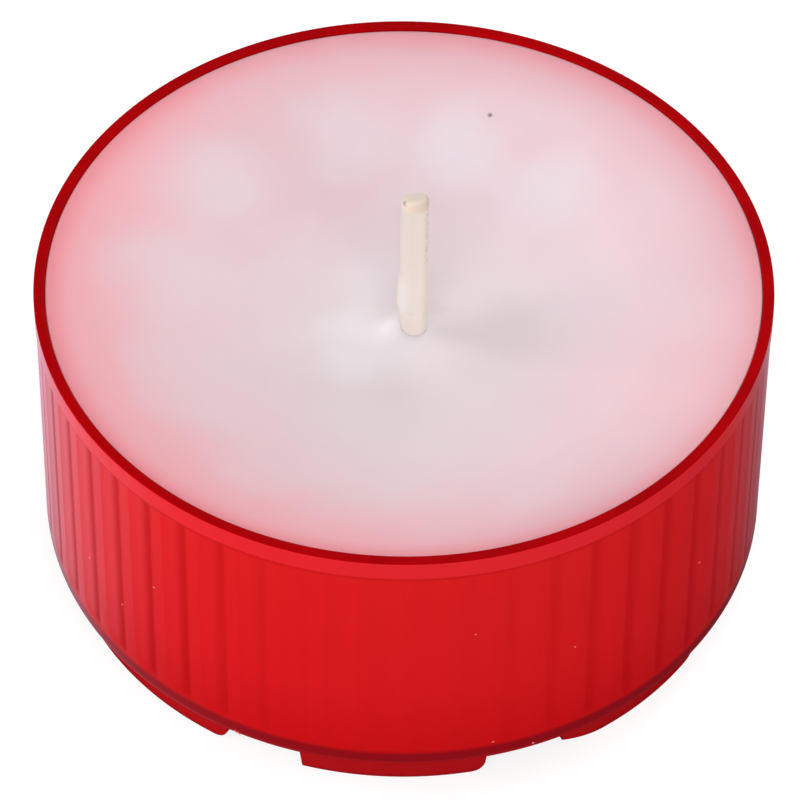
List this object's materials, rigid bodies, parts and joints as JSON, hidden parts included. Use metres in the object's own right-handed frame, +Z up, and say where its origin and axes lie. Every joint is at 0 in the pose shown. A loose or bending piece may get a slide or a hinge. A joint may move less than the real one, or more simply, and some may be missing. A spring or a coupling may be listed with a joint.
{
  "type": "tea light candle",
  "caption": "Tea light: round fluted translucent cup on an interrupted foot ring, filled with dished white wax round an upright unlit wick.",
  "frame": {"origin": "middle of the ring that the feet stand on, on the cup's axis at table height", "axes": "+Z up along the cup's axis and the wick; the front foot faces -Y; +X to the right seen from the front"},
  "size_m": [0.038, 0.038, 0.0255],
  "materials": {
    "cup_plastic": "translucent deep red, satin outside, glossy rim",
    "wax": "soft white paraffin wax, satin",
    "cotton": "waxed braided cotton",
    "tinplate": "thin stamped tinplate"
  },
  "bodies": {
    "root": {"cup": "cup_plastic", "wax": "wax", "wick": "cotton", "wick_sustainer": "tinplate"}
  },
  "joints": []
}
